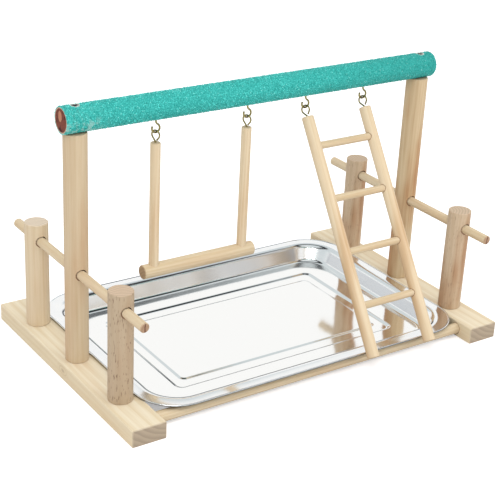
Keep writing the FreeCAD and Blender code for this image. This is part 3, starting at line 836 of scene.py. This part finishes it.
def polished_sheet():
    """Mirror sheet: sharp on the flat floor, duller where the press has drawn it, painted shade on
    the roll.
    """
    material, shader = new_shader("polished_steel")
    place = shader.place()
    height = shader.part(place, "z")
    upward = shader.vector("DOT_PRODUCT", shader.normal(), (0, 0, 1), 1)
    rough = shader.math("ADD",
                        shader.ramp(height, FLOOR_Z + 1 * MM, FLOOR_Z + 5 * MM,
                                    FLAT_ROUGHNESS, DRAWN_ROUGHNESS),
                        shader.ramp(upward, 0.6, 0.9, STEEP_ROUGHNESS, 0.0))
    drawn = shader.noise(shader.vector("MULTIPLY", place, (0.4, 0.4, 6.0)), 160.0)
    drawn = shader.times(drawn, shader.ramp(height, FLOOR_Z, FLOOR_Z + 4 * MM))
    tone = shader.mix(drawn, FLAT_TONE, DRAWN_TONE)
    # Painted shade on the rolled edge where it faces down.
    fold = shader.times(shader.add("ShaderNodeAttribute", 2, {"attribute_name": "fold"}),
                        shader.ramp(upward, 0.2, 0.55, 1.0, 0.0))
    tone = shader.mix(fold, tone, FOLD_SHADE)
    wave = shader.noise(place, 26.0, 1.0, 0.4)
    shader.surface(Base_Color=tone, Metallic=1.0, Roughness=rough,
                   Normal=shader.bump(wave, 0.2 * MM))
    return material


STEEL = polished_sheet()
print("steel ready")

# %% [markdown]
# ## Tray
#
# The pan is pressed from one sheet, so all its bends are soft, and a mirror shows every bend. The
# CAD tray has the right size and plain bends. Rounding those with bevels tends to leave uneven
# faces in the corners, so the sheet is drawn anew as a row of stations, from the middle of the
# floor to the rolled edge and back along the underside. Each station is a rounded rectangle at a
# height.

# %% Stations of the pressed sheet (half length, half width, corner radius, height, bend)
SHEET = 0.8 * MM
ROLL_RADIUS = 0.9 * MM
CORNER = 46 * MM
RIM_WIDTH = 15.4 * MM
RIM_FALL = 1.3 * MM           # the flat rim drops a little towards the rolled edge
PANEL_SINK = 1.4 * MM         # a panel is pressed down into the floor
FIELD_RISE = 0.8 * MM         # and a field is pressed up again within it
PANEL_X, PANEL_Y = 57 * MM, 56 * MM
FIELD_X, FIELD_Y = 70 * MM, 71 * MM
TRAY_CENTRE = centre_of("tray")
TRAY_HALF = span_of("tray") / 2
ROLL_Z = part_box("tray")[1].z - ROLL_RADIUS
RIM_Z = ROLL_Z + SHEET / 2


def station(inset_x, inset_y, corner, z, bend=0):
    return (TRAY_HALF.x - inset_x, TRAY_HALF.y - inset_y, corner, z, bend)


def sheet_top():
    """Top side of the sheet, from the raised field in the middle out to the flat rim."""
    panel_z = FLOOR_Z - PANEL_SINK
    field_z = panel_z + FIELD_RISE
    return [
        station(FIELD_X + 4 * MM, FIELD_Y + 4 * MM, 4 * MM, field_z),
        station(FIELD_X + 2.2 * MM, FIELD_Y + 2.2 * MM, 4.8 * MM, field_z, 0.7 * MM),
        station(FIELD_X, FIELD_Y, 7 * MM, panel_z, 0.7 * MM),
        station(PANEL_X + 3.6 * MM, PANEL_Y + 2.6 * MM, 6.4 * MM, panel_z, 0.9 * MM),
        station(PANEL_X, PANEL_Y, 9 * MM, FLOOR_Z, 0.9 * MM),
        station(27 * MM, 27.2 * MM, 28 * MM, FLOOR_Z, 4 * MM),
        station(RIM_WIDTH, RIM_WIDTH, 36 * MM, RIM_Z + RIM_FALL, 5.6 * MM),
        station(2.2 * MM, 2.2 * MM, CORNER - 2.2 * MM, RIM_Z),
    ]


print("tray", [round(2 * v / MM) for v in TRAY_HALF[:2]], "mm, rim at z", round(RIM_Z / MM, 1))

# %% Rolled edge, underside and soft bends
ROLL_STEPS = 12
ROLL_START = 150              # degrees round the bead, from the top side over the outside
BEND_STEPS = 6


def rolled_edge():
    """Round bead at the rim, from the top side over the outside to the underside."""
    stations = []
    for step in range(ROLL_STEPS + 1):
        angle = math.radians(ROLL_START - 2 * ROLL_START * step / ROLL_STEPS)
        inset = ROLL_RADIUS - ROLL_RADIUS * math.cos(angle)
        height = ROLL_Z + ROLL_RADIUS * math.sin(angle)
        stations.append(station(inset, inset, CORNER - inset, height))
    return stations


def under(top):
    """The same sheet's underside: one sheet lower and, where it turns, one sheet wider."""
    return [(half_x + SHEET, half_y + SHEET, corner + SHEET, z - SHEET, bend)
            for half_x, half_y, corner, z, bend in top]


def soften(stations):
    """Replaces each station that has a bend by a short curve, and drops the bends."""
    soft = []
    for index, here in enumerate(stations):
        bend = here[4]
        if not bend:
            soft.append(here[:4])
            continue
        ends = []
        for other in (stations[index - 1], stations[index + 1]):
            run = math.hypot(other[0] - here[0], other[3] - here[3])
            share = min(0.48, bend / run)
            ends.append([h + share * (o - h) for h, o in zip(here[:4], other[:4])])
        for step in range(BEND_STEPS + 1):
            t = step / BEND_STEPS
            soft.append(tuple((1 - t) ** 2 * a + 2 * t * (1 - t) * h + t * t * b
                              for a, h, b in zip(ends[0], here[:4], ends[1])))
    return soft


top_rows = soften(sheet_top())
edge_rows = soften(rolled_edge())
under_rows = soften(list(reversed(under(sheet_top()))))
print(len(top_rows), "rows on top,", len(edge_rows), "round the edge,", len(under_rows), "below")

# %% Loft the stations into the tray
CORNER_STEPS = 20
QUARTERS = ((1, 1), (-1, 1), (-1, -1), (1, -1))


def outline(half_x, half_y, corner, z):
    """Points of one rounded rectangle, corner by corner."""
    points = []
    for quarter, (sx, sy) in enumerate(QUARTERS):
        for step in range(CORNER_STEPS + 1):
            angle = math.pi / 2 * (quarter + step / CORNER_STEPS)
            points.append((TRAY_CENTRE.x + sx * (half_x - corner) + corner * math.cos(angle),
                           TRAY_CENTRE.y + sy * (half_y - corner) + corner * math.sin(angle), z))
    return points


def loft(name, rows):
    """Closed mesh through equal rows of points, capped at both ends."""
    count = len(rows[0])
    vertices = [point for row in rows for point in row]
    faces = [list(range(count))]
    for row in range(len(rows) - 1):
        for column in range(count):
            following = (column + 1) % count
            a, b = row * count + column, row * count + following
            faces.append((a, a + count, b + count, b))
    last = (len(rows) - 1) * count
    faces.append([last + column for column in reversed(range(count))])
    mesh = bpy.data.meshes.new(name)
    mesh.from_pydata(vertices, [], faces)
    mesh.shade_smooth()
    return mesh


rows = [outline(*row) for row in top_rows + edge_rows + under_rows]
tray_mesh = loft("tray_sheet", rows)
tray_mesh.materials.append(STEEL)
print("tray", len(rows), "rows,", len(tray_mesh.polygons), "faces")

# %% Mark the fold and hand the tray over
fold = tray_mesh.attributes.new("fold", "FLOAT", "POINT")
fold_start = len(top_rows) * len(rows[0])
fold_end = fold_start + len(edge_rows) * len(rows[0])
for index in range(fold_start, fold_end):
    fold.data[index].value = 1.0
tray_piece = bpy.data.objects.new("tray_sheet", tray_mesh)
bpy.context.scene.collection.objects.link(tray_piece)
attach(tray_piece, "tray")
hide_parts("tray")
print("fold marked on", fold_end - fold_start, "points")

# %% [markdown]
# ## Camera
#
# A product photo is taken from some way off with a long lens, which keeps upright posts nearly
# upright. The place, angles and lens below were fitted to the photo's corners and post feet, since
# a guessed camera never lines up everywhere at once. The photo is taken with a small roll, so the
# camera has one too.

# %% Camera
CAMERA_PLACE = Vector((-731.1, -1045.3, 669.1)) * MM
CAMERA_YAW = math.radians(34.81)
CAMERA_PITCH = math.radians(24.22)
CAMERA_ROLL = math.radians(2.86)
LENS = 93.06

camera_data = bpy.data.cameras.new("camera")
camera_data.lens = LENS
camera_data.sensor_width = 36.0
camera_data.clip_start = 0.05
camera_data.clip_end = 50.0
camera = bpy.data.objects.new("camera", camera_data)
bpy.context.scene.collection.objects.link(camera)
camera.matrix_world = (Matrix.Translation(CAMERA_PLACE)
                       @ Matrix.Rotation(-CAMERA_YAW, 4, "Z")
                       @ Matrix.Rotation(math.pi / 2 - CAMERA_PITCH, 4, "X")
                       @ Matrix.Rotation(CAMERA_ROLL, 4, "Z"))
bpy.context.scene.camera = camera
print("camera at", [round(v, 3) for v in camera.location])

# %% [markdown]
# ## White tent
#
# The stand was photographed in a white tent. A picture of a studio could light it, but a few soft
# patches do the same and stay easy to change. The world has three answers: plain white for the
# camera, an even near-white for soft light on the wood, and, for mirrors alone, white with grey
# patches where a tent has its seams, its opening and its gantry. A mirror in an all-white room
# would look like paper.

# %% Tent


def tent():
    """World: white for the camera, even for soft light, patched for mirrors."""
    world = bpy.data.worlds.new("tent")
    bpy.context.scene.world = world
    shader = Shader(world)
    way = shader.add("ShaderNodeTexCoord", "Generated")
    x, up = shader.part(way, "x"), shader.part(way, "z")
    to_front = shader.vector("DOT_PRODUCT", way, (0, -1, 0), 1)
    behind = shader.ramp(to_front, -0.2, -0.4)
    patches = (
        # Low opening behind the stand, towards the right
        (shader.times(behind, shader.ramp(up, 0.28, 0.16), shader.ramp(x, 0.1, 0.35)),
         (66, 70, 74)),
        # Bluish panel behind at the left, which the tray's right wall mirrors
        (shader.times(shader.ramp(x, -0.55, -0.63), shader.ramp(x, -0.77, -0.69),
                      shader.ramp(up, 0.62, 0.36), behind),
         (138, 147, 158)),
        # Roof, a little duller than the walls
        (shader.times(shader.ramp(up, 0.53, 0.59), shader.ramp(to_front, 0.3, 0.0)),
         (212, 219, 221)),
        # Grey panel in front at the right, which the rear wall mirrors
        (shader.times(shader.ramp(to_front, 0.15, 0.4), shader.ramp(x, 0.46, 0.55),
                      shader.ramp(up, 0.34, 0.44)),
         (112, 114, 119)),
        # Dark strip low down in front
        (shader.times(shader.ramp(to_front, 0.1, 0.3), shader.ramp(up, 0.20, 0.10)),
         (90, 92, 96)),
        # Gantry: a dark ring near the top, which the bends show as thin lines
        (shader.times(shader.ramp(up, 0.825, 0.86), shader.ramp(up, 0.96, 0.92)),
         (56, 58, 61)),
    )
    mirrored = linear(253, 253, 252)
    for share, tone in patches:
        mirrored = shader.mix(share, mirrored, linear(*tone))
    soft = shader.mix(shader.add("ShaderNodeLightPath", "Is Glossy Ray"),
                      linear(252, 252, 253), mirrored)
    seen = shader.mix(shader.add("ShaderNodeLightPath", "Is Camera Ray"),
                      soft, (1.0, 1.0, 1.0, 1.0))
    shader.add_output("ShaderNodeOutputWorld",
                      shader.add("ShaderNodeBackground", Color=seen, Strength=1.0))


tent()
print("tent up")

# %% [markdown]
# ## Lamps and floor
#
# One large soft lamp at the upper left gives the posts their bright and shaded sides, and a weaker
# one at the right keeps the shade open. The fill is left out of mirrors, where it would be a white
# square. The floor is nearly white and has a glow that only the camera sees: it lifts the floor to
# white round the stand but keeps a soft shadow, and adds no light to the stand.

# %% Lamps and floor
LAMP_SIZE = 1.0               # lengths are in metres and powers in watts
KEY_PLACE = (-0.85, -0.9, 1.7)
KEY_POWER = 13.0
FILL_PLACE = (1.2, -1.2, 1.0)
FILL_POWER = 8.0
FLOOR_HALF = 4.0
FLOOR_GLOW = 0.5


def soft_light(name, place, power):
    """Square area lamp that points at the middle of the stand."""
    data = bpy.data.lights.new(name, "AREA")
    data.shape = "SQUARE"
    data.size = LAMP_SIZE
    data.energy = power
    lamp = bpy.data.objects.new(name, data)
    bpy.context.scene.collection.objects.link(lamp)
    lamp.location = place
    aim = STAND_CENTRE - Vector(place)
    lamp.rotation_euler = aim.to_track_quat("-Z", "Y").to_euler()
    return lamp


def pale_floor():
    material, shader = new_shader("pale_floor")
    tone = shader.mix(shader.noise(shader.place(), 3.0), linear(236, 236, 237),
                      linear(232, 232, 234))
    glow = shader.times(shader.add("ShaderNodeLightPath", "Is Camera Ray"), FLOOR_GLOW)
    shader.surface(Base_Color=tone, Roughness=0.9, Specular_IOR_Level=0.1,
                   Emission_Color=tone, Emission_Strength=glow)
    mesh = bpy.data.meshes.new("floor")
    corners = [(sx * FLOOR_HALF, sy * FLOOR_HALF, 0)
               for sx, sy in ((-1, -1), (1, -1), (1, 1), (-1, 1))]
    mesh.from_pydata(corners, [], [(0, 1, 2, 3)])
    mesh.materials.append(material)
    floor = bpy.data.objects.new("floor", mesh)
    bpy.context.scene.collection.objects.link(floor)
    return floor


floor = pale_floor()
key = soft_light("key", KEY_PLACE, KEY_POWER)
fill = soft_light("fill", FILL_PLACE, FILL_POWER)
fill.visible_glossy = False
bpy.context.scene.view_settings.view_transform = "Standard"
print("key", key.data.energy, "W and fill", fill.data.energy, "W")
